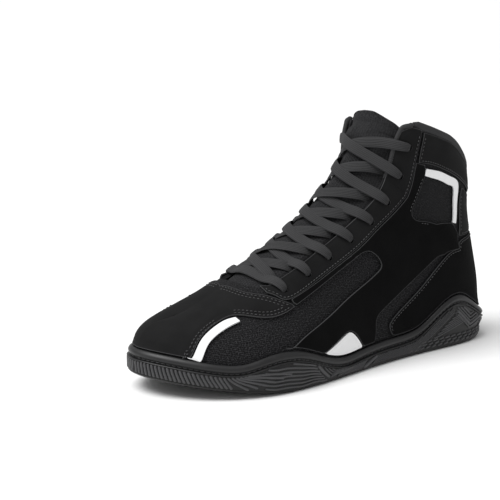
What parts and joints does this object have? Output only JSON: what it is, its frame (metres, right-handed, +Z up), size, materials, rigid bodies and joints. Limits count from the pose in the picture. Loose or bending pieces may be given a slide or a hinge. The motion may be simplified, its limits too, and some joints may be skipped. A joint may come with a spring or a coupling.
{
  "type": "wrestling shoe",
  "caption": "High-top wrestling shoe for the left foot: laced mesh and nubuck upper with open collar, padded tongue and a thin wavy-edged rubber cup sole with studded tread.",
  "frame": {"origin": "on the floor, below the middle of the shoe's box", "axes": "+X towards the toe, +Y towards the outer side of the left foot, +Z up; the sole rests on z = 0"},
  "size_m": [0.29, 0.101, 0.1731],
  "materials": {
    "mesh_cloth": "black speckled mesh",
    "nubuck": "matte black nubuck",
    "sole_rubber": "satin dark grey",
    "insole_foam": "matte dark cloth over foam",
    "tongue_knit": "heathered dark grey knit",
    "smooth_trim": "smooth black cloth",
    "white_trim": "satin white film",
    "lace_cloth": "braided black cord"
  },
  "bodies": {
    "root": {"upper": "mesh_cloth", "outsole": "sole_rubber", "insole": "insole_foam", "tongue": "tongue_knit", "collar_binding": "smooth_trim", "toe_overlay": "nubuck", "heel_counter": "nubuck", "back_stay": "nubuck", "collar_cuff": "nubuck", "eyestay_lateral": "nubuck", "eyestay_medial": "nubuck", "quarter_panel_lateral": "nubuck", "quarter_panel_medial": "nubuck", "toe_stripe_lateral": "white_trim", "toe_stripe_medial": "white_trim", "sole_window_lateral": "white_trim", "sole_window_medial": "white_trim", "ankle_stripe_lateral": "white_trim", "ankle_stripe_medial": "white_trim", "lace_bottom_bar": "lace_cloth", "lace_crossing_1": "lace_cloth", "lace_crossing_2": "lace_cloth", "lace_crossing_3": "lace_cloth", "lace_crossing_4": "lace_cloth", "lace_crossing_5": "lace_cloth", "lace_crossing_6": "lace_cloth", "lace_crossing_7": "lace_cloth"}
  },
  "joints": []
}
